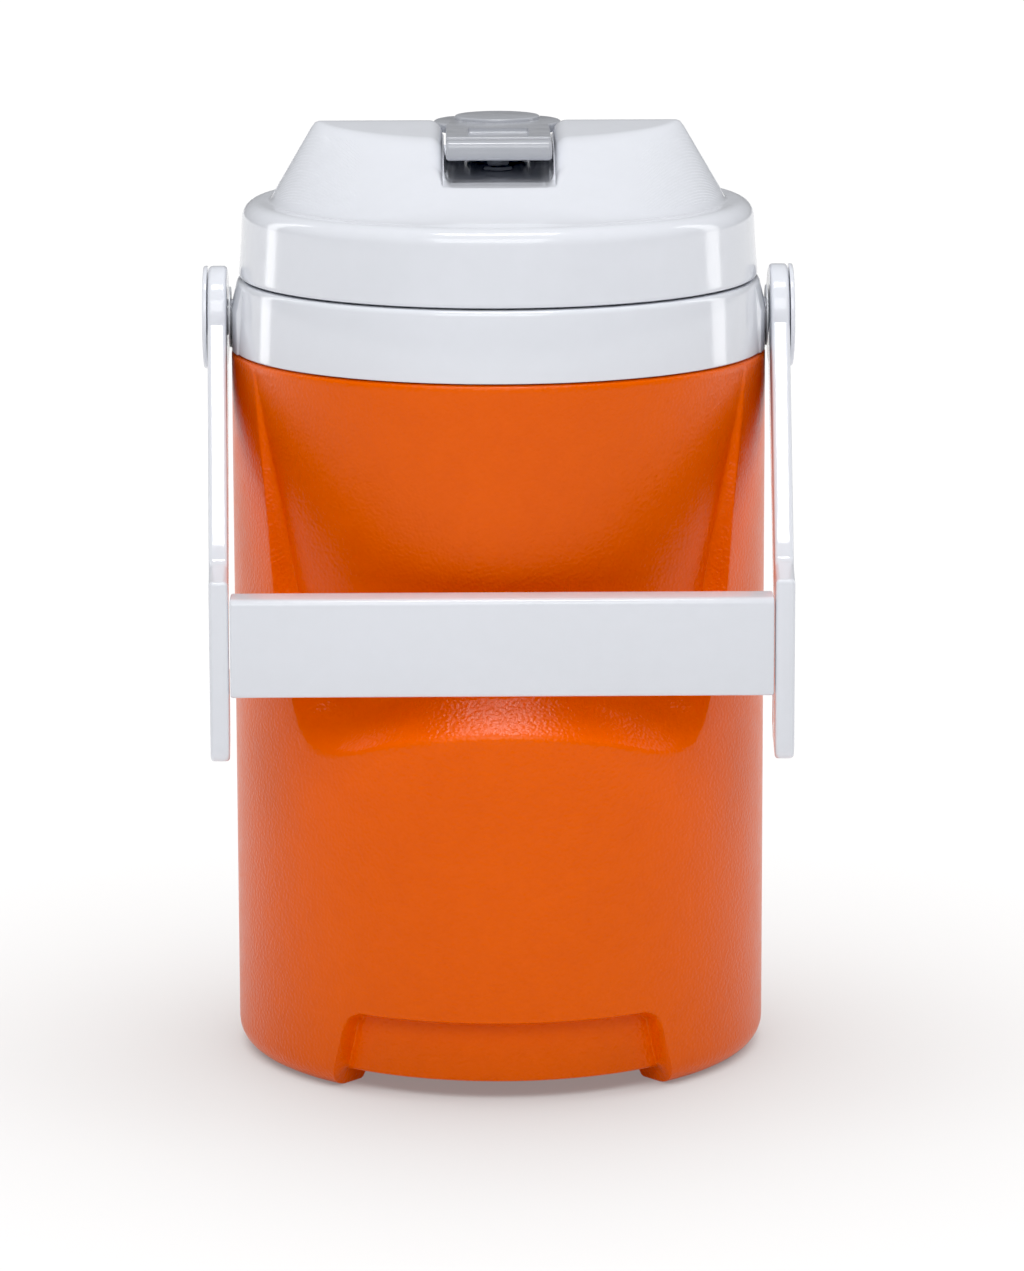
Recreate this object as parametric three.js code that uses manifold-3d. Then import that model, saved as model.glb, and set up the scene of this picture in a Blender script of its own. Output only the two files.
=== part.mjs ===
import * as THREE from 'three';
import { mergeVertices } from 'three/addons/utils/BufferGeometryUtils.js';
import Module from 'manifold-3d';

const wasm = await Module();
wasm.setup();

// Insulated drinks dispenser jug. Millimetres, +Z up, front towards -Y, base on Z = 0.

const GAP = 0.3;
const WALL = 2.2;
const RING = 40;

const jug = { radius: 75, top: 200, footRound: 7, panUnder: 5, footInner: 60 };
const notch = { halfBottom: 48, halfTop: 43, top: 22.7, wallRadius: 69.9 };
const scoop = { top: 198, slopeCentre: 0.145, slopeSide: 0.098, ledge: 103.5, ledgeSlope: 1.16, drop: 9.5 };
const liner = { inner: 56.8, wall: 1.8, floor: 20, rimRadius: 62.4, rimTop: 233.8 };
const collar = { footRadius: 74.7, headRadius: 73.4, bottom: 200.3, top: 220 };
const neck = { inner: 59, outer: 63, top: 232 };
const thread = { lead: 16, starts: 2, turns: 0.53, crestHalf: 0.8, rootHalf: 1.6 };
const pad = { radius: 75, halfWidth: 18.3, top: 219 };
const pivot = { height: 208.5, shaft: 5, bore: 5.3, headRadius: 14.4, headOut: 82.7, seat: 71.5 };
const lid = { bottom: 220.5, skirtRadius: 72.7, ring: 241.6, ridge: 263.7, ceiling: 236.4 };
const dome = { footRadius: 64.2, halfLength: 50.9, halfDepth: 27, roofSlope: 0.114 };
const channel = { half: 15, floor: 250, back: 38.5, corner: 2.5 };
const recess = { radius: 18.6, y: 15.5, floor: 259.1 };
const spout = { y: 19, bore: 5, tube: 6.6, top: 257.2 };
const vent = { y: -4, bore: 1.3, tube: 2.6 };
const hinge = { y: 30.5, z: 256.5, pin: 1.5, bore: 1.8, knuckle: 2.7, earInner: 9.3, earOuter: 14 };
const cap = { half: 14.5, front: -36, under: 259.4, top: 262, round: 18, discRadius: 12, discTop: 263 };
const arm = { inner: 76, thickness: 5.2, strutHalf: 10, front: -87, bottom: 98.8 };
const lean = { slope: 0.0345, from: -14 };
const bar = { half: 73.1, front: -87, back: -73.4, bottom: 117, top: 144, round: 4 };

const degrees = (a) => THREE.MathUtils.degToRad(a);

// ---- joining and cutting -------------------------------------------------------------------------

function signedVolume(position, index) {
  const [a, b, c] = [new THREE.Vector3(), new THREE.Vector3(), new THREE.Vector3()];
  let total = 0;
  for (let i = 0; i < index.length; i += 3) {
    a.fromArray(position, index[i] * 3);
    b.fromArray(position, index[i + 1] * 3);
    c.fromArray(position, index[i + 2] * 3);
    total += a.dot(b.cross(c));
  }
  return total;
}

function toSolid(geometry) {
  const bare = new THREE.BufferGeometry();
  bare.setAttribute('position', geometry.getAttribute('position').clone());
  if (geometry.index) {
    bare.setIndex(geometry.index.clone());
  }
  const merged = mergeVertices(bare, 1e-3);
  const position = Float32Array.from(merged.getAttribute('position').array);
  const all = Array.from(merged.index.array);
  const kept = [];
  for (let i = 0; i < all.length; i += 3) {
    const [p, q, r] = [all[i], all[i + 1], all[i + 2]];
    if (p !== q && q !== r && r !== p) {
      kept.push(p, q, r);
    }
  }
  if (signedVolume(position, kept) < 0) {
    kept.reverse();
  }
  const mesh = new wasm.Mesh({ numProp: 3, vertProperties: position, triVerts: Uint32Array.from(kept) });
  return new wasm.Manifold(mesh);
}

function toGeometry(solid) {
  const mesh = solid.getMesh();
  const geometry = new THREE.BufferGeometry();
  geometry.setAttribute('position', new THREE.BufferAttribute(Float32Array.from(mesh.vertProperties), 3));
  geometry.setIndex(Array.from(mesh.triVerts));
  return geometry;
}

// ---- basic solids --------------------------------------------------------------------------------

function turned(profile, x = 0, y = 0, segments = RING) {
  const points = [...profile, profile[0]].map(([r, z]) => new THREE.Vector2(r, z));
  const geometry = new THREE.LatheGeometry(points, segments);
  geometry.rotateX(Math.PI / 2);
  geometry.translate(x, y, 0);
  return toSolid(geometry);
}

function drum(radius, low, high, x = 0, y = 0, segments = 24) {
  return turned([[0, low], [radius, low], [radius, high], [0, high]], x, y, segments);
}

function block(low, high) {
  const size = high.map((v, i) => v - low[i]);
  const geometry = new THREE.BoxGeometry(...size);
  geometry.translate(...low.map((v, i) => v + size[i] / 2));
  return toSolid(geometry);
}

function rod(radius, x0, x1, y, z, segments = 16) {
  const geometry = new THREE.CylinderGeometry(radius, radius, x1 - x0, segments);
  geometry.rotateZ(Math.PI / 2);
  geometry.translate((x0 + x1) / 2, y, z);
  return toSolid(geometry);
}

// Outline in X and Z, carried along Y.
function alongY(outline, y0, y1) {
  const shape = new THREE.Shape(outline.map(([x, z]) => new THREE.Vector2(x, z)));
  const geometry = new THREE.ExtrudeGeometry(shape, { depth: y1 - y0, bevelEnabled: false });
  geometry.rotateX(Math.PI / 2);
  geometry.translate(0, y1, 0);
  return toSolid(geometry);
}

// Outline in Y and Z, carried along X.
function alongX(shape, x0, x1, curveSegments = 8) {
  const settings = { depth: x1 - x0, bevelEnabled: false, curveSegments };
  const geometry = new THREE.ExtrudeGeometry(shape, settings);
  geometry.rotateX(Math.PI / 2);
  geometry.rotateZ(Math.PI / 2);
  geometry.translate(x0, 0, 0);
  return geometry;
}

// Closed skin through stacked rings that each have the same number of points.
function stacked(rings, lowCentre, highCentre) {
  const count = rings[0].length;
  const position = rings.flat(2).concat(lowCentre, highCentre);
  const low = rings.length * count;
  const index = [];
  for (let i = 0; i < count; i += 1) {
    const j = (i + 1) % count;
    for (let k = 0; k + 1 < rings.length; k += 1) {
      const [a, b] = [k * count + i, k * count + j];
      index.push(a, b, b + count, a, b + count, a + count);
    }
    const last = (rings.length - 1) * count;
    index.push(low, j, i, low + 1, last + i, last + j);
  }
  const geometry = new THREE.BufferGeometry();
  geometry.setAttribute('position', new THREE.Float32BufferAttribute(position, 3));
  geometry.setIndex(index);
  return toSolid(geometry);
}

// ---- the jug's side with its two hand scoops -----------------------------------------------------

function smoothMin(a, b, blend) {
  const h = Math.max(blend - Math.abs(a - b), 0) / blend;
  return Math.min(a, b) - (h * h * blend) / 4;
}

function scoopHalfAngle(z) {
  const table = [[90, 48], [104, 49.5], [118, 52], [137, 56.6], [163, 59.5], [200, 65.5]];
  const clamped = THREE.MathUtils.clamp(z, table[0][0], table.at(-1)[0]);
  const above = Math.max(1, table.findIndex(([height]) => clamped <= height));
  const [[z0, a0], [z1, a1]] = [table[above - 1], table[above]];
  return a0 + ((a1 - a0) * (clamped - z0)) / (z1 - z0);
}

function ledgeDrop(angle) {
  return -scoop.drop * (Math.min(angle, 48) / 39) ** 2;
}

function scoopDepth(angle, z) {
  const edge = scoopHalfAngle(z);
  const across = Math.min(angle / edge, 1);
  const slope = scoop.slopeCentre - (scoop.slopeCentre - scoop.slopeSide) * across ** 2;
  const back = slope * (scoop.top - z);
  const aboveLedge = z - scoop.ledge - ledgeDrop(angle);
  const fromEdge = jug.radius * degrees(edge - angle);
  const steepening = 1.84 * Math.min(Math.max((aboveLedge - 14) / 20, 0), 1);
  const walls = (scoop.ledgeSlope + steepening) * smoothMin(aboveLedge, fromEdge, 24);
  return Math.max(0, smoothMin(back, walls, 4));
}

function sideRadius(z) {
  const drop = Math.max(jug.footRound - z, 0);
  return jug.radius - jug.footRound + Math.sqrt(jug.footRound ** 2 - drop ** 2);
}

// One quadrant's columns: shares of the scoop's half-angle, then shares of the way on to the side.
const INSIDE = [0, 0.22, 0.44, 0.66, 0.85, 0.965];
const OUTSIDE = [0, 0.36, 0.7];

function quadrantAngles(z) {
  const edge = scoopHalfAngle(z);
  return [...INSIDE.map((f) => f * edge), ...OUTSIDE.map((f) => edge + f * (90 - edge))];
}

// Angles once round from the front, each with its distance from the nearer scoop's middle.
function ringAngles(z) {
  const quadrant = quadrantAngles(z);
  const back = [90, ...quadrant.slice(1).reverse()];
  const half = [...quadrant, ...back.map((a) => 180 - a)];
  const turn = [...half, ...half.map((a) => a + 180)];
  return turn.map((a) => [a, Math.min(a % 180, 180 - (a % 180))]);
}

function sideRing(height, followsLedge, inset) {
  return ringAngles(height).map(([turn, angle]) => {
    const z = height + (followsLedge ? ledgeDrop(angle) : 0);
    const radius = sideRadius(z) - scoopDepth(angle, z) - inset;
    return [radius * Math.sin(degrees(turn)), -radius * Math.cos(degrees(turn)), z];
  });
}

const LEDGE_ROWS = [103, 107, 111.5, 116, 122];
const UPPER_ROWS = [136, 163, 197];

function sideSolid(inset, lowRows, topRow) {
  const rings = [
    ...lowRows.map((z) => sideRing(z, false, inset)),
    ...LEDGE_ROWS.map((z) => sideRing(z, true, inset)),
    ...UPPER_ROWS.map((z) => sideRing(z, false, inset)),
    sideRing(topRow, false, inset),
  ];
  return stacked(rings, [0, 0, lowRows[0]], [0, 0, topRow]);
}

// The relief between the feet at front and back, grown by a wall's thickness when asked.
function footRelief(grow) {
  const [bottom, top] = [notch.halfBottom + grow, notch.halfTop + grow];
  const height = notch.top + grow;
  const outline = [[-bottom, -1], [bottom, -1], [top, height - 4], [top - 4, height]];
  const left = [[4 - top, height], [-top, height - 4]];
  const through = alongY([...outline, ...left], -90, 90);
  return through.subtract(drum(notch.wallRadius - grow, jug.panUnder + grow, 40, 0, 0, RING));
}

function outerShell() {
  const skin = sideSolid(0, [0, 1.2, 3.6, 7, 86], jug.top);
  const hollow = sideSolid(WALL, [jug.panUnder + WALL, 11, 86], jug.top + 1);
  const under = drum(jug.footInner, -1, jug.panUnder, 0, 0, RING);
  const plugHole = drum(12, 0, 12);
  const wall = skin.subtract(hollow.subtract(footRelief(WALL)));
  return wall.subtract(under).subtract(footRelief(0)).subtract(plugHole);
}

function bodyFoam() {
  const fill = sideSolid(WALL + GAP, [jug.panUnder + WALL + GAP, 11, 86], jug.top);
  const rise = turned([[62.3, 199], [70.2, 199], [70.2, 216.7], [62.3, 216.7]]);
  const outer = liner.inner + liner.wall + GAP;
  const seat = liner.floor - liner.wall - GAP;
  const space = turned([[0, seat], [outer - 4.6, seat], [outer, seat + 4.6], [outer, 201], [0, 201]]);
  return fill.subtract(footRelief(WALL + GAP)).subtract(space).add(rise);
}

function innerLiner() {
  const { inner, wall, floor, rimRadius, rimTop } = liner;
  const outer = inner + wall;
  const outside = [[0, floor - wall], [outer - 4.6, floor - wall], [outer, floor + 2.8]];
  const rim = [[outer, rimTop - 1.5], [rimRadius, rimTop - 1.5], [rimRadius, rimTop], [inner, rimTop]];
  const inside = [[inner, floor + 4], [inner - 4, floor], [0, floor]];
  return turned([...outside, ...rim, ...inside]);
}

function fillPlug() {
  return turned([[0, 0], [15, 0], [16, 1], [16, 4.7], [11.7, 4.7], [11.7, 7.2], [0, 7.2]], 0, 0, 24);
}

// ---- screw thread --------------------------------------------------------------------------------

// One rib climbing anticlockwise seen from above, from its root radius to its crest radius.
function threadRib(root, crest, startZ, startAngle) {
  const steps = 14;
  const rings = [];
  for (let i = 0; i <= steps; i += 1) {
    const turn = (thread.turns * i) / steps;
    const angle = startAngle + turn * 2 * Math.PI;
    const z = startZ + thread.lead * turn;
    const section = [[root, -thread.rootHalf], [crest, -thread.crestHalf]];
    section.push([crest, thread.crestHalf], [root, thread.rootHalf]);
    rings.push(section.map(([r, dz]) => [r * Math.cos(angle), r * Math.sin(angle), z + dz]));
  }
  const middle = (ring) => [0, 1, 2].map((axis) => ring.reduce((sum, p) => sum + p[axis] / 4, 0));
  return stacked(rings, middle(rings[0]), middle(rings.at(-1)));
}

function threaded(solid, root, crest, startZ, startAngle) {
  let result = solid;
  for (let start = 0; start < thread.starts; start += 1) {
    const angle = startAngle + (start * 2 * Math.PI) / thread.starts;
    result = result.add(threadRib(root, crest, startZ, angle));
  }
  return result;
}

// ---- collar and handle pivots --------------------------------------------------------------------

function collarRing() {
  const { footRadius, headRadius, bottom, top } = collar;
  const under = [[neck.inner, bottom], [62, bottom], [62, 217], [70.5, 217], [70.5, bottom]];
  const outside = [[footRadius, bottom], [headRadius, top - 2.4], [headRadius - 0.8, top - 0.7]];
  const step = [[headRadius - 2.4, top], [neck.outer, top]];
  const rim = [[neck.outer, neck.top - 0.8], [neck.outer - 0.8, neck.top], [neck.inner, neck.top]];
  return turned([...under, ...outside, ...step, ...rim]);
}

function pivotPads() {
  const { radius, halfWidth, top } = pad;
  const profile = [[71.5, collar.bottom], [radius, collar.bottom], [radius, top - 4]];
  profile.push([72.3, top], [71.5, top]);
  const sides = block([-90, -halfWidth, 190], [90, halfWidth, 230]);
  return turned(profile).intersect(sides);
}

function pivotSeats() {
  const right = rod(pivot.bore, pivot.seat, 80, 0, pivot.height, 24);
  const left = rod(pivot.bore, -80, -pivot.seat, 0, pivot.height, 24);
  return right.add(left);
}

function collarPiece() {
  const ring = collarRing().add(pivotPads()).subtract(pivotSeats());
  return threaded(ring, neck.outer - 0.5, neck.outer + 2.6, 221.9, 0);
}

function pivotButton(side) {
  const out = pivot.headOut;
  const profile = [[0, pivot.seat + GAP], [pivot.shaft, pivot.seat + GAP], [pivot.shaft, 81.5]];
  profile.push([pivot.headRadius, 81.5], [pivot.headRadius, out - 0.5], [pivot.headRadius - 0.7, out]);
  profile.push([4.2, out], [4.2, out - 0.7], [0, out - 0.7]);
  return sideways(profile, side);
}

function pivotWasher(side) {
  return sideways([[pivot.bore, 75.1], [8.5, 75.1], [8.5, 75.5], [pivot.bore, 75.5]], side);
}

// Turns a profile of radius against distance out from the middle onto the pivot's axis.
function sideways(profile, side) {
  const points = [...profile, profile[0]].map(([r, x]) => new THREE.Vector2(r, x));
  const geometry = new THREE.LatheGeometry(points, 24);
  geometry.rotateZ((-side * Math.PI) / 2);
  geometry.translate(0, 0, pivot.height);
  return toSolid(geometry);
}

// ---- bail handle ---------------------------------------------------------------------------------

function armOutline() {
  const { strutHalf, front, bottom } = arm;
  const { height, headRadius } = pivot;
  const spread = Math.asin(strutHalf / headRadius);
  const shape = new THREE.Shape();
  shape.absarc(0, height, headRadius, degrees(225) + spread, degrees(585) - spread, false);
  shape.lineTo(-67.5, height + 14.14 - 67.5);
  shape.quadraticCurveTo(-70.4, 151.6, -74, 151);
  shape.lineTo(-83, 149.4);
  shape.quadraticCurveTo(front, 148.6, front, 144);
  shape.lineTo(front, bottom + 7);
  shape.quadraticCurveTo(front, bottom, front + 7, bottom);
  shape.lineTo(-59, bottom);
  shape.quadraticCurveTo(-51.5, bottom, -51.5, bottom + 7.5);
  shape.lineTo(-51.5, 116);
  shape.quadraticCurveTo(-51.6, 119, -54.2, 119);
  shape.quadraticCurveTo(-57, 119, -57.2, 116);
  shape.lineTo(-57.4, 109);
  shape.quadraticCurveTo(-58, 105.6, -61.5, 105.6);
  shape.quadraticCurveTo(-65.2, 105.8, -65.4, 109);
  shape.lineTo(-65.4, 122);
  shape.quadraticCurveTo(-65, 129.5, -60.5, 133.9);
  shape.closePath();
  return shape;
}

function handleArm(side) {
  const geometry = alongX(armOutline(), arm.inner, arm.inner + arm.thickness, 8);
  const position = geometry.getAttribute('position');
  for (let i = 0; i < position.count; i += 1) {
    const forward = Math.min(position.getY(i) - lean.from, 0);
    position.setX(i, side * (position.getX(i) + lean.slope * forward));
  }
  const right = rod(pivot.bore, 70, 90, 0, pivot.height, 24);
  const left = rod(pivot.bore, -90, -70, 0, pivot.height, 24);
  const hole = right.add(left);
  return toSolid(geometry).subtract(hole);
}

function gripBar() {
  const { half, front, back, bottom, top, round } = bar;
  const shape = new THREE.Shape();
  shape.absarc(back - round, top - round, round, 0, Math.PI / 2, false);
  shape.absarc(front + round, top - round, round, Math.PI / 2, Math.PI, false);
  shape.absarc(front + round, bottom + round, round, Math.PI, Math.PI * 1.5, false);
  shape.absarc(back - round, bottom + round, round, Math.PI * 1.5, Math.PI * 2, false);
  return toSolid(alongX(shape, -half, half, 4));
}

// ---- lid -----------------------------------------------------------------------------------------

function lensPoint(angle, shrink) {
  const x = (dome.halfLength - shrink) * Math.sin(angle);
  const depth = (dome.halfDepth - shrink) * Math.abs(Math.cos(angle)) ** 1.25;
  return [x, -Math.sign(Math.cos(angle)) * depth];
}

// The dome: a round base drawn up to a long pitched top.
function domeSolid(inset, baseZ) {
  const angles = Array.from({ length: RING }, (_, i) => (i * 2 * Math.PI) / RING);
  const slump = dome.roofSlope;
  const lift = (lid.ring - baseZ) * 0.55;
  const base = angles.map((a) => {
    const r = dome.footRadius - inset * 1.2 + lift;
    return [r * Math.sin(a), -r * Math.cos(a), baseZ];
  });
  const shoulder = angles.map((a) => {
    const [x, y] = lensPoint(a, inset);
    return [x * 1.02, y * 1.03, lid.ridge - inset - slump * Math.abs(y) - 1];
  });
  const brow = angles.map((a) => {
    const [x, y] = lensPoint(a, inset + 1.4);
    return [x, y, lid.ridge - inset - slump * Math.abs(y)];
  });
  return stacked([base, shoulder, brow], [0, 0, baseZ], [0, 0, lid.ridge - inset]);
}

// Space the flip cap lies in: the channel, its round recess and the holes through the channel's floor.
function channelSpace(grow) {
  const { half, floor, back, corner } = channel;
  const [h, f] = [half + grow, floor - grow];
  const outline = [[-h, f + corner], [corner - h, f], [h - corner, f], [h, f + corner], [h, 280], [-h, 280]];
  const straight = alongY(outline, -90, back + grow);
  return straight.add(drum(recess.radius + grow, recess.floor - grow, 280, 0, recess.y, 36));
}

function hingeEars() {
  const { y, z, knuckle, earInner, earOuter } = hinge;
  const one = (x0, x1) => {
    const foot = block([x0, y - knuckle + 0.4, channel.floor - 1], [x1, y + 1, z]);
    return rod(knuckle, x0, x1, y, z).add(foot);
  };
  return one(earInner, earOuter).add(one(-earOuter, -earInner));
}

function lidShell() {
  const { bottom, skirtRadius, ring } = lid;
  const side = [[0, bottom], [skirtRadius, bottom], [71.9, 236.6]];
  const outside = [...side, [70.6, 239.9], [67.4, ring], [0, ring]];
  const inside = [[0, 219], [70.4, 219], [69.8, 236], [68.4, 238.6], [66.8, 239.4], [0, 239.4]];
  const hollow = turned(inside).add(domeSolid(WALL, 238.9).subtract(channelSpace(WALL)));
  const shell = turned(outside).add(domeSolid(0, 241)).subtract(channelSpace(0)).subtract(hollow);
  const ventHole = drum(vent.tube + GAP, 240, 255, 0, vent.y, 16);
  const openings = drum(spout.tube + GAP, 240, 255, 0, spout.y).add(ventHole);
  const pinHole = rod(hinge.bore, -hinge.earOuter - 0.2, hinge.earOuter + 0.2, hinge.y, hinge.z);
  return shell.subtract(openings).add(hingeEars()).subtract(pinHole);
}

function lidInner() {
  const ceiling = lid.ceiling;
  const outside = [[66.2, 222], [68.4, 222], [69, 236.4], [67.6, 238.2]];
  const skirt = [...outside, [0, 238.2], [0, ceiling], [66.2, ceiling]];
  const plain = turned(skirt);
  const drains = drum(spout.bore, 230, 240, 0, spout.y).add(drum(vent.bore, 230, 240, 0, vent.y, 16));
  return threaded(plain, 66.7, neck.outer + 0.8, 223.9, degrees(135)).subtract(drains);
}

function lidFoam() {
  const base = lid.ceiling + 2.1;
  const fill = domeSolid(WALL + GAP, 239.1).add(drum(60.5, base, 239.6, 0, 0, RING));
  const ventTube = drum(vent.tube + GAP, 230, 260, 0, vent.y, 16);
  const tubes = drum(spout.tube + GAP, 230, 260, 0, spout.y).add(ventTube);
  return fill.subtract(channelSpace(WALL + GAP)).subtract(tubes);
}

function lidGasket() {
  return turned([[57, 234.3], [62.3, 234.3], [61.7, 236.1], [57.6, 236.1]]);
}

function drinkSpout() {
  const { bore, tube, top, y } = spout;
  const low = lid.ceiling + 2.2;
  const outside = [[bore, low], [tube, low], [tube, 250.3], [8.6, 250.3], [8.6, 251.4], [7.7, 252.2]];
  return turned([...outside, [7.2, top - 0.8], [6.6, top], [bore, top]], 0, y, 24);
}

function ventValve() {
  const { bore, tube, y } = vent;
  const stem = [[bore, 238.6], [tube, 238.6], [tube, 250.3]];
  return turned([...stem, [4, 250.3], [3.7, 251.1], [bore, 251.1]], 0, y, 16);
}

// ---- flip cap ------------------------------------------------------------------------------------

function flipCap() {
  const { half, front, under, top, round, discRadius, discTop } = cap;
  const tongue = block([-half, front, under], [half, 5, top]);
  const lip = block([-half, front, 255.8], [half, front + 6, top - 0.5]);
  const plate = drum(round, under, top, 0, recess.y, 36);
  const rim = [[0, top - 1], [discRadius, top - 1], [discRadius, discTop - 0.4]];
  const disc = turned([...rim, [11.4, discTop], [0, discTop]], 0, 20, 28);
  const skirt = turned([[11, 252.6], [13, 252.6], [13, top - 1], [11, top - 1]], 0, 20, 28);
  const web = block([-9, 28.5, hinge.z], [9, 32.5, top - 1]);
  const barrel = rod(hinge.knuckle, -9, 9, hinge.y, hinge.z).add(web);
  const whole = [lip, plate, disc, skirt, barrel].reduce((sum, piece) => sum.add(piece), tongue);
  const pocket = block([-8, -28, top - 1.2], [8, -6, top + 5]);
  const earRoom = block([9, 27, 240], [20, 45, 270]).add(block([-20, 27, 240], [-9, 45, 270]));
  const pinBore = rod(hinge.bore, -20, 20, hinge.y, hinge.z);
  const underHinge = block([-20, 27, 240], [20, 50, hinge.z - hinge.knuckle]);
  const rear = block([-20, 33, 240], [20, 50, 280]).add(underHinge);
  return whole.subtract(pocket).subtract(earRoom).subtract(pinBore).subtract(rear);
}

function hingePin() {
  return rod(hinge.pin, -hinge.earOuter, hinge.earOuter, hinge.y, hinge.z);
}

function spoutPlug() {
  const { top, y } = spout;
  const stem = [[0, top - 1.8], [3.8, top - 1.8], [4.2, top - 1.2], [4.2, top + GAP]];
  return turned([...stem, [7, top + GAP], [7, cap.under - GAP], [0, cap.under - GAP]], 0, y, 28);
}

function ventPlug() {
  const tip = [[0, 250.3], [0.7, 250.3], [0.9, 251.5]];
  const head = [[3, 251.5], [3, cap.under - GAP], [0, cap.under - GAP]];
  return turned([...tip, ...head], 0, vent.y, 16);
}

// ---- assembly ------------------------------------------------------------------------------------

const finish = {
  orange: { color: '#de5c12', roughness: 0.55 },
  white: { color: '#dfe3ea', roughness: 0.3 },
  grey: { color: '#a2a5ae', roughness: 0.35 },
  liner: { color: '#eceff2', roughness: 0.4 },
  foam: { color: '#e9dfb4', roughness: 0.95 },
  silicone: { color: '#c9ccd2', roughness: 0.7 },
  steel: { color: '#b9bcc0', roughness: 0.3, metalness: 1 },
};

const group = new THREE.Group();

function place(name, solid, look) {
  const geometry = toGeometry(solid);
  geometry.computeVertexNormals();
  const mesh = new THREE.Mesh(geometry, new THREE.MeshStandardMaterial(finish[look]));
  mesh.name = name;
  group.add(mesh);
}

place('outer_shell', outerShell(), 'orange');
place('body_foam', bodyFoam(), 'foam');
place('inner_liner', innerLiner(), 'liner');
place('fill_plug', fillPlug(), 'orange');
place('collar', collarPiece(), 'white');
place('pivot_button_left', pivotButton(-1), 'white');
place('pivot_button_right', pivotButton(1), 'white');
place('pivot_washer_left', pivotWasher(-1), 'liner');
place('pivot_washer_right', pivotWasher(1), 'liner');
place('handle_arm_left', handleArm(-1), 'white');
place('handle_arm_right', handleArm(1), 'white');
place('grip_bar', gripBar(), 'white');
place('lid_shell', lidShell(), 'white');
place('lid_inner', lidInner(), 'liner');
place('lid_foam', lidFoam(), 'foam');
place('lid_gasket', lidGasket(), 'silicone');
place('drink_spout', drinkSpout(), 'grey');
place('vent_valve', ventValve(), 'silicone');
place('hinge_pin', hingePin(), 'steel');
place('flip_cap', flipCap(), 'grey');
place('spout_plug', spoutPlug(), 'silicone');
place('vent_plug', ventPlug(), 'silicone');

export default group;
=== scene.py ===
import math

import bpy
import numpy as np
from mathutils import Matrix, Vector


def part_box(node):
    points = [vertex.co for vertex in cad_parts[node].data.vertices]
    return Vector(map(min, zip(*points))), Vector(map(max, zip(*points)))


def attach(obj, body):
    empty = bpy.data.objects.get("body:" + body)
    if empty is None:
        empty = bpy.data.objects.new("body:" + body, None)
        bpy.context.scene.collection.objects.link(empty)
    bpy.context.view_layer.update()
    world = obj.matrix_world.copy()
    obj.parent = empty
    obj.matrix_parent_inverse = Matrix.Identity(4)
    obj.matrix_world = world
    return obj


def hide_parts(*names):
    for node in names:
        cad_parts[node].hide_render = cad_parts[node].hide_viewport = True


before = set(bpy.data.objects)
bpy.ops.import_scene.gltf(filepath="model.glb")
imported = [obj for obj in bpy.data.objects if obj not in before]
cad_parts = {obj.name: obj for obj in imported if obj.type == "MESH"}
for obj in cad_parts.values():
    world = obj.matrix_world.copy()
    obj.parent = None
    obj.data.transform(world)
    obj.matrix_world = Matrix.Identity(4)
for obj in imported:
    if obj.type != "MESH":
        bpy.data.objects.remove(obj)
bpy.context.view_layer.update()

# Sizes below are in millimetres. Scene units are metres.
MM = 0.001
shell_low, shell_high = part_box("outer_shell")
lid_low, lid_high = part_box("lid_shell")
BODY_RADIUS = (shell_high.x - shell_low.x) / 2 / MM
BODY_TOP = shell_high.z / MM
LID_RADIUS = (lid_high.x - lid_low.x) / 2 / MM
LID_BOTTOM = lid_low.z / MM
RIDGE = lid_high.z / MM


# ---- mesh making ---------------------------------------------------------------------------------


def make_piece(name, points, faces, body, slot, material, replaced=(), sharp=32.0):
    mesh = bpy.data.meshes.new(name)
    mesh.from_pydata((np.asarray(points, float) * MM).tolist(), [], faces)
    mesh.validate()
    mesh.materials.append(material)
    piece = bpy.data.objects.new(name, mesh)
    bpy.context.scene.collection.objects.link(piece)
    return finish_piece(piece, body, slot, replaced, sharp)


def finish_piece(piece, body, slot, replaced=(), sharp=32.0):
    piece.data.shade_smooth()
    piece.data.set_sharp_from_angle(angle=math.radians(sharp))
    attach(piece, body)
    if replaced:
        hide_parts(*replaced)
    return piece


def ring_faces(rows, columns, offset=0, loop=False):
    """Quads between stacked closed rings, each with its points anticlockwise seen from above."""
    faces = []
    for k in range(rows if loop else rows - 1):
        low, high = k * columns, ((k + 1) % rows) * columns
        for i in range(columns):
            j = (i + 1) % columns
            faces.append((offset + low + i, offset + low + j, offset + high + j, offset + high + i))
    return faces


def stack(rings, ends=True, loop=False):
    """Points and faces of a skin through rings of equal count. Ends are closed with a fan."""
    rings = np.asarray(rings, float)
    rows, columns = rings.shape[:2]
    points = rings.reshape(-1, 3)
    faces = ring_faces(rows, columns, loop=loop)
    if ends and not loop:
        points = np.vstack([points, rings[0].mean(0), rings[-1].mean(0)])
        low = rows * columns
        last = (rows - 1) * columns
        faces += [(low, (i + 1) % columns, i) for i in range(columns)]
        faces += [(low + 1, last + i, last + (i + 1) % columns) for i in range(columns)]
    return points, faces


def turned(profile, centre=(0.0, 0.0), columns=144):
    """A closed profile of (radius, height), anticlockwise with radius to the right, once round."""
    turn = np.linspace(0, 2 * np.pi, columns, endpoint=False)
    rings = [
        np.stack([centre[0] + r * np.cos(turn), centre[1] + r * np.sin(turn), np.full(columns, z)], 1)
        for r, z in profile
    ]
    return stack(rings, ends=False, loop=True)


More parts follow.
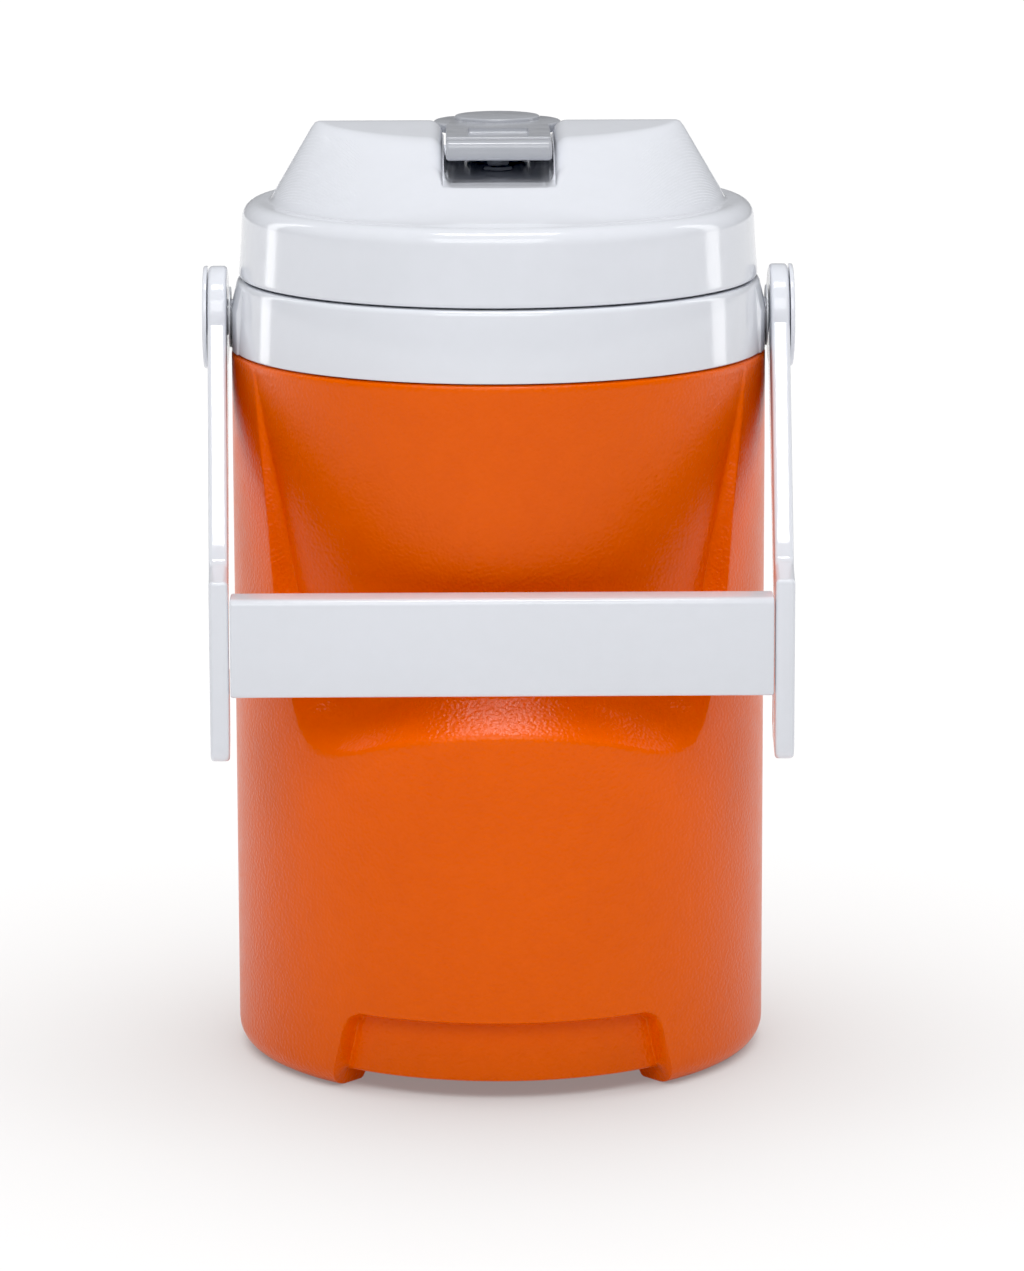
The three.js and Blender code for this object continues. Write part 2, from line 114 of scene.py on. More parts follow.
def rounded(profile, radius, steps=4):
    """The profile with each corner that has a radius rounded off. radius is one number or a list."""
    radii = [radius] * len(profile) if np.isscalar(radius) else radius
    result = []
    count = len(profile)
    for i, r in enumerate(radii):
        here = np.array(profile[i], float)
        before = np.array(profile[i - 1], float) - here
        after = np.array(profile[(i + 1) % count], float) - here
        reach = min(r, np.linalg.norm(before) * 0.48, np.linalg.norm(after) * 0.48)
        if reach < 1e-4:
            result.append(tuple(here))
            continue
        start = here + before / np.linalg.norm(before) * reach
        end = here + after / np.linalg.norm(after) * reach
        for k in range(steps + 1):
            t = k / steps
            result.append(tuple((1 - t) ** 2 * start + 2 * t * (1 - t) * here + t * t * end))
    return result


def smooth_min(a, b, blend):
    h = np.maximum(blend - np.abs(a - b), 0) / blend
    return np.minimum(a, b) - h * h * blend / 4


def smooth_max(a, b, blend):
    return -smooth_min(-a, -b, blend)


def ease(t):
    t = np.clip(t, 0, 1)
    return t * t * (3 - 2 * t)


# ---- materials -----------------------------------------------------------------------------------


def shader_group(name, inputs, outputs):
    group = bpy.data.node_groups.new(name, "ShaderNodeTree")
    for label, kind, value in inputs:
        socket = group.interface.new_socket(label, in_out="INPUT", socket_type=kind)
        if value is not None:
            socket.default_value = value
    for label, kind in outputs:
        group.interface.new_socket(label, in_out="OUTPUT", socket_type=kind)
    return group, group.nodes.new("NodeGroupInput"), group.nodes.new("NodeGroupOutput")


def math_node(tree, operation, a, b=None, clamp=False):
    node = tree.nodes.new("ShaderNodeMath")
    node.operation = operation
    node.use_clamp = clamp
    for socket, value in zip(node.inputs, (a, b)):
        if value is None:
            continue
        if isinstance(value, (int, float)):
            socket.default_value = value
        else:
            tree.links.new(value, socket)
    return node.outputs[0]


def noise(tree, place, scale, detail=2.0, roughness=0.5):
    node = tree.nodes.new("ShaderNodeTexNoise")
    node.inputs["Scale"].default_value = scale
    node.inputs["Detail"].default_value = detail
    node.inputs["Roughness"].default_value = roughness
    tree.links.new(place, node.inputs["Vector"])
    return node.outputs[0]


def spread(tree, value, low, high, to_low=0.0, to_high=1.0):
    node = tree.nodes.new("ShaderNodeMapRange")
    node.inputs["From Min"].default_value = low
    node.inputs["From Max"].default_value = high
    node.inputs["To Min"].default_value = to_low
    node.inputs["To Max"].default_value = to_high
    tree.links.new(value, node.inputs["Value"])
    return node.outputs[0]


def pebble_group():
    """Mould grain: rounded pebbles with fine pits between. Puts out a height."""
    floats = "NodeSocketFloat"
    inputs = [
        ("Place", "NodeSocketVector", None),
        ("Pebble size", floats, 0.0011),
        ("Pitting", floats, 0.35),
    ]
    tree, entry, out = shader_group("pebble_grain", inputs, [("Height", floats)])
    scale = math_node(tree, "DIVIDE", 1.0, entry.outputs["Pebble size"])
    warp = tree.nodes.new("ShaderNodeTexNoise")
    warp.inputs["Scale"].default_value = 420
    tree.links.new(entry.outputs["Place"], warp.inputs["Vector"])
    shift = tree.nodes.new("ShaderNodeVectorMath")
    shift.operation = "MULTIPLY_ADD"
    shift.inputs[1].default_value = (0.0009, 0.0009, 0.0009)
    tree.links.new(warp.outputs["Color"], shift.inputs[0])
    tree.links.new(entry.outputs["Place"], shift.inputs[2])
    cells = tree.nodes.new("ShaderNodeTexVoronoi")
    cells.feature = "SMOOTH_F1"
    cells.inputs["Smoothness"].default_value = 0.6
    tree.links.new(shift.outputs[0], cells.inputs["Vector"])
    tree.links.new(scale, cells.inputs["Scale"])
    dome = spread(tree, cells.outputs["Distance"], 0.1, 0.75, 1.0, 0.0)
    fine = noise(tree, entry.outputs["Place"], 2600, 3, 0.6)
    pits = spread(tree, fine, 0.35, 0.6, 1.0, 0.0)
    lowered = math_node(tree, "MULTIPLY", pits, entry.outputs["Pitting"])
    tree.links.new(math_node(tree, "SUBTRACT", dome, lowered), out.inputs["Height"])
    return tree


def tone_group():
    """Slow drift of colour and gloss over a moulding, with faint handling marks."""
    floats = "NodeSocketFloat"
    inputs = [
        ("Place", "NodeSocketVector", None),
        ("Colour", "NodeSocketColor", (0.8, 0.8, 0.8, 1)),
        ("Shade", "NodeSocketColor", (0.7, 0.7, 0.7, 1)),
        ("Roughness", floats, 0.3),
        ("Unevenness", floats, 0.05),
        ("Marks", floats, 0.2),
    ]
    outputs = [("Colour", "NodeSocketColor"), ("Roughness", floats)]
    tree, entry, out = shader_group("moulded_tone", inputs, outputs)
    place = entry.outputs["Place"]
    slow = spread(tree, noise(tree, place, 14, 3), 0.35, 0.68)
    mottle = spread(tree, noise(tree, place, 160, 4, 0.6), 0.35, 0.65)
    drift = math_node(tree, "MULTIPLY", slow, 0.6)
    blend = math_node(tree, "ADD", drift, math_node(tree, "MULTIPLY", mottle, 0.4))
    mix = tree.nodes.new("ShaderNodeMix")
    mix.data_type = "RGBA"
    tree.links.new(blend, mix.inputs["Factor"])
    tree.links.new(entry.outputs["Shade"], mix.inputs[6])
    tree.links.new(entry.outputs["Colour"], mix.inputs[7])
    stretch = tree.nodes.new("ShaderNodeMapping")
    stretch.inputs["Rotation"].default_value = (0.3, 0.5, 0.9)
    stretch.inputs["Scale"].default_value = (900, 60, 300)
    tree.links.new(place, stretch.inputs["Vector"])
    scuff = spread(tree, noise(tree, stretch.outputs["Vector"], 1.0, 2), 0.66, 0.74)
    patch = spread(tree, noise(tree, place, 30, 2), 0.5, 0.62)
    scuffed = math_node(tree, "MULTIPLY", scuff, patch)
    marks = math_node(tree, "MULTIPLY", scuffed, entry.outputs["Marks"], True)
    centred = math_node(tree, "SUBTRACT", mottle, 0.5)
    uneven = math_node(tree, "MULTIPLY", centred, entry.outputs["Unevenness"])
    gloss = math_node(tree, "ADD", entry.outputs["Roughness"], uneven)
    rough = math_node(tree, "ADD", gloss, math_node(tree, "MULTIPLY", marks, 0.25))
    tree.links.new(mix.outputs[2], out.inputs["Colour"])
    tree.links.new(rough, out.inputs["Roughness"])
    return tree


pebbles = pebble_group()
tones = tone_group()


def plastic(name, colour, shade, roughness, uneven=0.06, marks=0.15, grain=None, ripple=None):
    """grain is (pebble size, height, pitting) in metres; ripple is (scale, height)."""
    material = bpy.data.materials.new(name)
    material.use_nodes = True
    tree = material.node_tree
    tree.nodes.clear()
    shader = tree.nodes.new("ShaderNodeBsdfPrincipled")
    shader.inputs["IOR"].default_value = 1.49
    output = tree.nodes.new("ShaderNodeOutputMaterial")
    tree.links.new(shader.outputs[0], output.inputs["Surface"])
    place = tree.nodes.new("ShaderNodeTexCoord").outputs["Object"]
    tone = tree.nodes.new("ShaderNodeGroup")
    tone.node_tree = tones
    tone.inputs["Colour"].default_value = (*colour, 1)
    tone.inputs["Shade"].default_value = (*shade, 1)
    tone.inputs["Roughness"].default_value = roughness
    tone.inputs["Unevenness"].default_value = uneven
    tone.inputs["Marks"].default_value = marks
    tree.links.new(place, tone.inputs["Place"])
    tree.links.new(tone.outputs["Colour"], shader.inputs["Base Color"])
    tree.links.new(tone.outputs["Roughness"], shader.inputs["Roughness"])
    height, depth = None, 0.0
    if grain:
        pebble = tree.nodes.new("ShaderNodeGroup")
        pebble.node_tree = pebbles
        pebble.inputs["Pebble size"].default_value = grain[0]
        pebble.inputs["Pitting"].default_value = grain[2]
        tree.links.new(place, pebble.inputs["Place"])
        height, depth = pebble.outputs["Height"], grain[1]
    if ripple:
        height, depth = noise(tree, place, ripple[0], 2), ripple[1]
    if height:
        bump = tree.nodes.new("ShaderNodeBump")
        bump.inputs["Strength"].default_value = 1.0
        bump.inputs["Distance"].default_value = depth
        tree.links.new(height, bump.inputs["Height"])
        tree.links.new(bump.outputs["Normal"], shader.inputs["Normal"])
    return material


WHITE = (0.78, 0.80, 0.855)
WHITE_SHADE = (0.755, 0.775, 0.825)
ORANGE = (0.86, 0.124, 0.001)
ORANGE_SHADE = (0.81, 0.111, 0.001)
LINER_WHITE = (0.80, 0.82, 0.84)
LINER_SHADE = (0.77, 0.79, 0.81)
GREY = (0.47, 0.485, 0.525)
GREY_SHADE = (0.44, 0.455, 0.495)
SILICONE = (0.58, 0.60, 0.64)
SILICONE_SHADE = (0.54, 0.56, 0.60)
FOAM = (0.80, 0.72, 0.42)
FOAM_SHADE = (0.68, 0.60, 0.34)
MOULD_GRAIN = (0.0010, 0.00010, 0.08)
SOFT_GRAIN = (0.0004, 0.00002, 0.4)
FOAM_CELLS = (0.0016, 0.0003, 0.8)
FLOW = (35, 0.00008)

orange = plastic("orange_grained", ORANGE, ORANGE_SHADE, 0.31, 0.06, 0.02, grain=MOULD_GRAIN)
orange.node_tree.nodes["Principled BSDF"].inputs["Specular IOR Level"].default_value = 0.28
white = plastic("white_gloss", WHITE, WHITE_SHADE, 0.10, 0.04, 0.2, ripple=FLOW)
lid_white = plastic("lid_white_gloss", WHITE, WHITE_SHADE, 0.12, 0.05, 0.15, ripple=FLOW)
bar_white = plastic("bar_white_handled", WHITE, WHITE_SHADE, 0.2, 0.06, 0.12, ripple=(60, 0.00008))
liner_white = plastic("liner_white_smooth", LINER_WHITE, LINER_SHADE, 0.3, 0.05, 0.1, ripple=(50, 0.00006))
grey = plastic("cap_grey_smooth", GREY, GREY_SHADE, 0.2, 0.06, 0.15, ripple=(50, 0.00006))
silicone = plastic("silicone_soft", SILICONE, SILICONE_SHADE, 0.55, 0.1, 0.1, grain=SOFT_GRAIN)
foam = plastic("foam_cellular", FOAM, FOAM_SHADE, 0.9, 0.1, 0.0, grain=FOAM_CELLS)


def brushed(name, colour):
    material = plastic(name, colour, tuple(c * 0.85 for c in colour), 0.3, 0.2, 0.3)
    material.node_tree.nodes["Principled BSDF"].inputs["Metallic"].default_value = 1.0
    return material


steel = brushed("steel_drawn", (0.56, 0.57, 0.58))


# ---- outer shell ---------------------------------------------------------------------------------

SCOOP_HEIGHTS = [90, 104, 118, 137, 163, 200]
SCOOP_ANGLES = [48, 49.5, 52, 56.6, 59.5, 65.5]
SCOOP_TOP = 198.0
SCOOP_SLOPE = 0.145
SCOOP_SLOPE_FALL = 0.047
LEDGE = 103.5
LEDGE_DROP = 9.5
LEDGE_SLOPE = 1.16
WALL_SLOPE_GAIN = 1.84
CORNER_BLEND = 24.0
FOOT_ROUND = 7.0
PAN = 5.0
RELIEF_HALF = 48.0
RELIEF_TAPER = 5.0
RELIEF_TOP = 22.7
RELIEF_RADIUS = 69.9
SHELL_WALL = 2.4


def scoop_half_angle(z):
    return np.interp(z, SCOOP_HEIGHTS, SCOOP_ANGLES)


def ledge_drop(angle):
    return -LEDGE_DROP * (np.minimum(angle, 48) / 39) ** 2


def scoop_depth(angle, z):
    """Depth of the hand scoop: a sloping back that meets the side walls and the ledge below."""
    edge = scoop_half_angle(z)
    across = np.minimum(angle / edge, 1)
    back = (SCOOP_SLOPE - SCOOP_SLOPE_FALL * across**2) * (SCOOP_TOP - z)
    above_ledge = z - LEDGE - ledge_drop(angle)
    from_edge = BODY_RADIUS * np.radians(edge - angle)
    slope = LEDGE_SLOPE + WALL_SLOPE_GAIN * np.clip((above_ledge - 14) / 20, 0, 1)
    walls = slope * smooth_min(above_ledge, from_edge, CORNER_BLEND)
    depth = smooth_min(back, walls, 4.0)
    return smooth_max(depth, 0 * depth, 0.8)


def relief_half_width(z):
    return RELIEF_HALF - RELIEF_TAPER * z / RELIEF_TOP


def relief(angle, z):
    """1 inside the relief between the feet, 0 outside it, with the rounded upper corners."""
    x = BODY_RADIUS * np.sin(np.radians(angle))
    side = relief_half_width(z) - x
    top = RELIEF_TOP - z
    corner = 4.0
    near = (side < corner) & (top < corner)
    inside = np.where(near, corner - np.hypot(corner - side, corner - top), np.minimum(side, top))
    return ease(inside / 1.3 + 0.3)


def key_angle(z):
    """Where columns crowd together: the relief's side low down, the scoop's side higher up."""
    low = np.degrees(np.arcsin(relief_half_width(min(z, RELIEF_TOP)) / BODY_RADIUS))
    share = ease(np.array((z - 26) / 60.0))
    return float(low + (scoop_half_angle(z) - low) * share)


def shell_columns(z):
    key = key_angle(z)
    inside = np.linspace(0, key - 5, 30, endpoint=False)
    edge = np.linspace(key - 5, key + 1.4, 24, endpoint=False)
    outside = np.linspace(key + 1.4, 90, 17, endpoint=False)
    quadrant = np.concatenate([inside, edge, outside])
    half = np.concatenate([quadrant, [90], 180 - quadrant[:0:-1]])
    turn = np.concatenate([half, half + 180])
    return turn, np.minimum(turn % 180, 180 - turn % 180)


def around(turn, radius, z):
    """Points at angles counted from the front, anticlockwise seen from above."""
    a = np.radians(turn)
    return np.stack([radius * np.sin(a), -radius * np.cos(a), np.broadcast_to(z, radius.shape)], 1)


def shell_ring(height, with_ledge=False, inset=0.0):
    turn, angle = shell_columns(height)
    z = height + (ledge_drop(angle) if with_ledge else 0 * angle)
    radius = BODY_RADIUS - scoop_depth(angle, z)
    if inset == 0:
        radius = radius + (RELIEF_RADIUS - radius) * relief(angle, z)
    else:
        radius = radius - (BODY_RADIUS - RELIEF_RADIUS) * (z < RELIEF_TOP + 4) * (angle < 45)
    return around(turn, radius - inset, z)


def base_ring(foot, pan):
    """A ring of the underside: foot where the jug stands, pan in the relief between the feet."""
    turn, angle = shell_columns(foot[1])
    share = relief(angle, max(foot[1], 0.0))
    return around(turn, foot[0] + (pan[0] - foot[0]) * share, foot[1] + (pan[1] - foot[1]) * share)


def shell_rings():
    plain = [(12.3, 6.9), (12.3, PAN), (25, PAN), (45, PAN), (58.6, PAN)]
    rings = [base_ring(p, p) for p in plain]
    foot = [(59.6, 4.7), (60, 4.0), (60.2, 1.2), (60.6, 0.4), (61.4, 0), (64, 0), (67.2, 0)]
    rings += [base_ring(p, (p[0], PAN)) for p in foot]
    for step in range(9):
        a = math.pi / 2 * step / 8
        corner = (BODY_RADIUS - FOOT_ROUND + FOOT_ROUND * math.sin(a), FOOT_ROUND * (1 - math.cos(a)))
        pan = (RELIEF_RADIUS - 1.2 + 1.2 * math.sin(a), PAN + 1.2 * (1 - math.cos(a)))
        rings.append(base_ring(corner, pan if step < 8 else (RELIEF_RADIUS, FOOT_ROUND)))
    low = [8.5, 10, 12, 14, 16, 18, 19.5, 20.5, 21.2, 21.7, 22.2, 22.7, 23.2, 23.9, 25.2, 27]
    rings += [shell_ring(z) for z in low]
    rings += [shell_ring(z) for z in np.linspace(30, 83, 13)]
    rings += [shell_ring(z, with_ledge=True) for z in np.arange(100, 128, 0.85)]
    rings += [shell_ring(z) for z in np.linspace(130, 197.5, 30)]
    rim = [(0, 198.9), (0.3, 199.5), (0.8, 199.85), (1.4, BODY_TOP), (2.2, BODY_TOP), (2.4, 199.6)]
    turn = shell_columns(200)[0]
    rings += [around(turn, np.full(turn.shape, BODY_RADIUS - r), z) for r, z in rim]
    rings += [shell_ring(z, inset=SHELL_WALL) for z in np.linspace(196, 130, 8)]
    rings += [shell_ring(z, with_ledge=True, inset=SHELL_WALL) for z in np.arange(124, 99, -4.0)]
    rings += [shell_ring(z, inset=SHELL_WALL) for z in (88, 60, 28, 20, 7.5)]
    rings.append(around(turn, np.full(turn.shape, 12.3), 7.4))
    return rings


def make_shell():
    points, faces = stack(shell_rings(), ends=False, loop=True)
    make_piece("jug_shell", points, faces, "jug", "body_orange", orange, ["outer_shell"], 40)


def make_foam():
    """The fill between shell and liner, half a millimetre inside the shell's wall."""
    gap = SHELL_WALL + 0.5
    turn = shell_columns(60)[0]
    rings = [around(turn, np.full(turn.shape, 0.01), 7.7), around(turn, np.full(turn.shape, 58.0), 7.7)]
    rings += [shell_ring(z, inset=gap) for z in (10, 20, 29, 60, 83)]
    rings += [shell_ring(z, with_ledge=True, inset=gap) for z in np.arange(100, 126, 3.0)]
    rings += [shell_ring(z, inset=gap) for z in np.linspace(130, 197, 8)]
    inner = [(59, 197), (59, 23), (54, 18), (0.01, 18)]
    rings += [around(turn, np.full(turn.shape, r), z) for r, z in inner]
    points, faces = stack(rings, ends=False, loop=True)
    make_piece("foam_fill", points, faces, "jug", "foam", foam, ["body_foam"], 40)


# ---- collar --------------------------------------------------------------------------------------

COLLAR_FOOT = 74.7
COLLAR_HEAD = 73.4
PAD_RADIUS = 75.0
PAD_HALF_ANGLE = 14.0


def collar_profile():
    """The collar's outer wall with the threaded neck above it."""
    outline = [(59, 200.3), (COLLAR_FOOT, 200.3), (74.0, 212), (COLLAR_HEAD, 219.9), (70.0, 220)]
    outline += [(63, 220), (63, 232), (59, 232)]
    radii = [0.2, 0.5, 0, 1.9, 0, 0.5, 0.7, 0.4]
    return rounded(outline, radii, 5)


def make_collar():
    near = np.concatenate([np.arange(-16, -12, 0.25), np.arange(-12, 12, 1.2), np.arange(12, 16, 0.25)])
    far = np.arange(16, 164, 1.48)
    turn = np.concatenate([near + 90, far + 90, near + 270, far + 270])
    from_side = np.abs((turn % 180) - 90)
    raised = ease((PAD_HALF_ANGLE + 0.6 - from_side) / 1.2)
    rings = []
    for r, z in collar_profile():
        out = max(min(PAD_RADIUS, 72.5 + (219.5 - z) * 0.6) - r, 0) if r > 71 else 0
        rings.append(around(turn, r + raised * out, z))
    points, faces = stack(rings, ends=False, loop=True)
    make_piece("collar_ring", points, faces, "jug", "white_gloss", white, ["collar"], 40)


# ---- lid -----------------------------------------------------------------------------------------

RING_PLANE = 241.6
DOME_RADIUS = 64.2
LENS_LENGTH = 50.9
LENS_DEPTH = 27.0
ROOF_FALL = 0.114
CHANNEL_HALF = 15.0
CHANNEL_FLOOR = 250.0
CHANNEL_BACK = 38.0
RECESS_RADIUS = 18.7
RECESS_Y = 15.5
RECESS_FLOOR = 259.1
SPOUT_Y = 19.0
VENT_Y = -4.0
TOP_RADIUS = 66.6


def loft_share(x, y):
    """How far a point is from the pitched top's outline, 0, to the dome's round foot, 1."""
    low = np.full(x.shape, -0.6)
    high = np.full(x.shape, 1.3)
    for _ in range(32):
        middle = (low + high) / 2
        length = LENS_LENGTH + (DOME_RADIUS - LENS_LENGTH) * middle
        depth = LENS_DEPTH + (DOME_RADIUS - LENS_DEPTH) * middle
        power = 0.625 - 0.125 * np.clip(middle, 0, 1)
        inside = np.maximum(1 - (x / length) ** 2, 0)
        beyond = (np.abs(y) > depth * inside**power) | (np.abs(x) >= length)
        low = np.where(beyond, middle, low)
        high = np.where(beyond, high, middle)
    return (low + high) / 2


def dome_height(x, y):
    share = loft_share(x, y)
    length = LENS_LENGTH + (DOME_RADIUS - LENS_LENGTH) * share
    along = np.clip(np.abs(x) / length, 0, 1)
    brow = RIDGE - ROOF_FALL * LENS_DEPTH * (1 - along**2) ** 0.625
    side = brow + (RING_PLANE - 0.6 - brow) * share
    roof = RIDGE - ROOF_FALL * np.sqrt(y * y + 1.0)
    softness = 0.5 + 5.5 * ease(1 - np.abs(x) / 52) ** 1.5
    top = smooth_min(roof, side, 1.5)
    return smooth_max(top, np.full(x.shape, RING_PLANE), softness) - softness / 4 * (share > 5)


def channel_height(x, y):
    """Height of the channel's floor and walls, far above the lid outside it."""
    across = np.abs(x)
    floor = CHANNEL_FLOOR + 0.1 * (1 - np.clip(across / CHANNEL_HALF, 0, 1) ** 2)
    bend = np.clip(across - 12.5, 0, 2.5)
    floor = floor + 2.5 - np.sqrt(2.5**2 - bend**2)
    wall = 40 * np.clip(across - CHANNEL_HALF, 0, 1)
    back = 30 * np.clip(y - CHANNEL_BACK, 0, 1)
    return floor + wall + back


def lid_height(x, y):
    top = dome_height(x, y)
    reach = np.clip(0.8 * (top - CHANNEL_FLOOR), 0, 4.0) * (y < CHANNEL_BACK + 3)
    inward = np.clip(reach - (np.abs(x) - CHANNEL_HALF - 0.35), 0, reach)
    rounded_off = top - (reach - np.sqrt(np.maximum(reach**2 - inward**2, 0)))
    result = smooth_min(rounded_off, channel_height(x, y), 0.5)
    ring = RECESS_FLOOR + 5 * (np.hypot(x, y - RECESS_Y) - RECESS_RADIUS)
    result = np.minimum(result, np.where(ring > RECESS_FLOOR, ring, RECESS_FLOOR))
    for centre, radius in ((SPOUT_Y, 5.9), (VENT_Y, 2.0)):
        result = np.where(np.hypot(x, y - centre) < radius, 238.9, result)
    return result


def lid_columns():
    floor = np.linspace(0, 12.5, 16, endpoint=False)
    corner = np.linspace(12.5, CHANNEL_HALF, 6, endpoint=False)
    wall = np.linspace(CHANNEL_HALF, CHANNEL_HALF + 0.35, 6, endpoint=False)
    edge = np.linspace(CHANNEL_HALF + 0.35, 19.6, 9, endpoint=False)
    turn = np.linspace(math.asin(19.6 / TOP_RADIUS), math.pi / 2, 52)
    half = np.concatenate([floor, corner, wall, edge, TOP_RADIUS * np.sin(turn)])
    return np.concatenate([-half[:0:-1], half])


def lid_skirt_profile():
    bend = [math.radians(a) for a in range(90, -1, -10)]
    crown = [(67.1 + 4.6 * math.cos(a), RING_PLANE - 4.6 + 4.6 * math.sin(a)) for a in bend]
    wall = [(71.9, 233), (72.2, 228), (LID_RADIUS - 0.05, 222), (LID_RADIUS, 221.3)]
    foot = [(LID_RADIUS - 0.2, 220.8), (LID_RADIUS - 0.7, LID_BOTTOM), (70.9, LID_BOTTOM)]
    return crown + wall + foot + [(70.5, 220.9), (70.3, 224), (69.8, 238.5)]


def make_lid():
    x = lid_columns()
    rows = 171
    share = np.linspace(-1, 1, rows)
    width = np.sqrt(np.maximum(TOP_RADIUS**2 - x[1:-1] ** 2, 0))
    grid_x = np.repeat(x[1:-1, None], rows, 1)
    grid_y = width[:, None] * share[None, :]
    height = lid_height(grid_x, grid_y)
    height[:, 0] = height[:, -1] = RING_PLANE
    points = np.stack([grid_x, grid_y, height], 2).reshape(-1, 3)
    count = len(x) - 2
    left, right = len(points), len(points) + 1
    points = np.vstack([points, (x[0], 0, RING_PLANE), (x[-1], 0, RING_PLANE)])

    def at(i, j):
        return i * rows + j

    faces = [
        (at(i, j), at(i + 1, j), at(i + 1, j + 1), at(i, j + 1))
        for i in range(count - 1)
        for j in range(rows - 1)
    ]
    faces += [(left, at(0, j), at(0, j + 1)) for j in range(rows - 1)]
    faces += [(right, at(count - 1, j + 1), at(count - 1, j)) for j in range(rows - 1)]
    front = [at(i, 0) for i in range(count)]
    back = [at(i, rows - 1) for i in reversed(range(count))]
    above = [left, *front, right, *back]
    rim = points[above][:, :2] / TOP_RADIUS
    for r, z in lid_skirt_profile():
        start = len(points)
        points = np.vstack([points, np.column_stack([rim * r, np.full(len(rim), z)])])
        below = list(range(start, start + len(rim)))
        for i in range(len(rim)):
            j = (i + 1) % len(rim)
            faces.append((below[i], below[j], above[j], above[i]))
        above = below
    points = np.vstack([points, (0, 0, 238.5)])
    centre = len(points) - 1
    faces += [(centre, above[(i + 1) % len(above)], above[i]) for i in range(len(above))]
    make_piece("lid_dome", points, faces, "lid", "white_gloss", lid_white, ["lid_shell", "lid_foam"], 50)


# ---- screw thread --------------------------------------------------------------------------------

THREAD_LEAD = 16.0
THREAD_TURNS = 0.53


def new_tree(name, lengths, counts=()):
    """A node tree whose named inputs are lengths and shares, whole numbers and a material."""
    tree = bpy.data.node_groups.new(name, "GeometryNodeTree")
    face = tree.interface
    face.new_socket("Geometry", in_out="INPUT", socket_type="NodeSocketGeometry")
    for label, value in lengths:
        socket = face.new_socket(label, in_out="INPUT", socket_type="NodeSocketFloat")
        socket.default_value = value
    for label, value in counts:
        socket = face.new_socket(label, in_out="INPUT", socket_type="NodeSocketInt")
        socket.default_value = value
    face.new_socket("Material", in_out="INPUT", socket_type="NodeSocketMaterial")
    face.new_socket("Geometry", in_out="OUTPUT", socket_type="NodeSocketGeometry")
    return tree, tree.nodes.new("NodeGroupInput")


def end_tree(tree, entry, placed):
    """Makes the instances real, gives them the material and puts them out."""
    node, link = tree.nodes.new, tree.links.new
    real = node("GeometryNodeRealizeInstances")
    link(placed.outputs["Instances"], real.inputs["Geometry"])
    painted = node("GeometryNodeSetMaterial")
    link(real.outputs["Geometry"], painted.inputs["Geometry"])
    link(entry.outputs["Material"], painted.inputs["Material"])
    link(painted.outputs["Geometry"], node("NodeGroupOutput").inputs["Geometry"])


def thread_tree():
    """Ribs that climb round a wall: one for each start, evenly spaced."""
    lengths = [("Radius", 0.06), ("Rise", 0.008), ("Turns", 0.5), ("Thickness", 0.0014)]
    tree, entry = new_tree("climbing_ribs", lengths, [("Starts", 2)])
    node, link = tree.nodes.new, tree.links.new
    spiral = node("GeometryNodeCurveSpiral")
    spiral.inputs["Resolution"].default_value = 96
    link(entry.outputs["Turns"], spiral.inputs["Rotations"])
    link(entry.outputs["Radius"], spiral.inputs["Start Radius"])
    link(entry.outputs["Radius"], spiral.inputs["End Radius"])
    link(entry.outputs["Rise"], spiral.inputs["Height"])
    section = node("GeometryNodeCurvePrimitiveCircle")
    section.inputs["Resolution"].default_value = 10
    link(entry.outputs["Thickness"], section.inputs["Radius"])
    rib = node("GeometryNodeCurveToMesh")
    rib.inputs["Fill Caps"].default_value = True
    link(spiral.outputs["Curve"], rib.inputs["Curve"])
    link(section.outputs["Curve"], rib.inputs["Profile Curve"])
    starts = node("GeometryNodeMeshLine")
    starts.inputs["Offset"].default_value = (0, 0, 0)
    link(entry.outputs["Starts"], starts.inputs["Count"])
    placed = node("GeometryNodeInstanceOnPoints")
    link(starts.outputs["Mesh"], placed.inputs["Points"])
    link(rib.outputs["Mesh"], placed.inputs["Instance"])
    share = node("ShaderNodeMath")
    share.operation = "DIVIDE"
    link(node("GeometryNodeInputIndex").outputs["Index"], share.inputs[0])
    link(entry.outputs["Starts"], share.inputs[1])
    turn = node("ShaderNodeMath")
    turn.operation = "MULTIPLY"
    turn.inputs[1].default_value = 2 * math.pi
    link(share.outputs["Value"], turn.inputs[0])
    angles = node("ShaderNodeCombineXYZ")
    link(turn.outputs["Value"], angles.inputs["Z"])
    link(angles.outputs["Vector"], placed.inputs["Rotation"])
    end_tree(tree, entry, placed)
    return tree


def from_tree(name, tree, values, base=None):
    """A plain mesh made by a node tree, with the tree's inputs set by name."""
    host = bpy.data.objects.new(name + "_host", base or bpy.data.meshes.new(name + "_base"))
    bpy.context.scene.collection.objects.link(host)
    modifier = host.modifiers.new("tree", "NODES")
    modifier.node_group = tree
    for item in tree.interface.items_tree:
        if item.in_out == "INPUT" and item.name in values:
            modifier[item.identifier] = values[item.name]
    bpy.context.view_layer.update()
    graph = bpy.context.evaluated_depsgraph_get()
    mesh = bpy.data.meshes.new_from_object(host.evaluated_get(graph), depsgraph=graph)
    bpy.data.objects.remove(host)
    piece = bpy.data.objects.new(name, mesh)
    bpy.context.scene.collection.objects.link(piece)
    return piece


def place_mesh(piece, turn, rise):
    piece.data.transform(Matrix.Translation((0, 0, rise * MM)) @ Matrix.Rotation(turn, 4, "Z"))


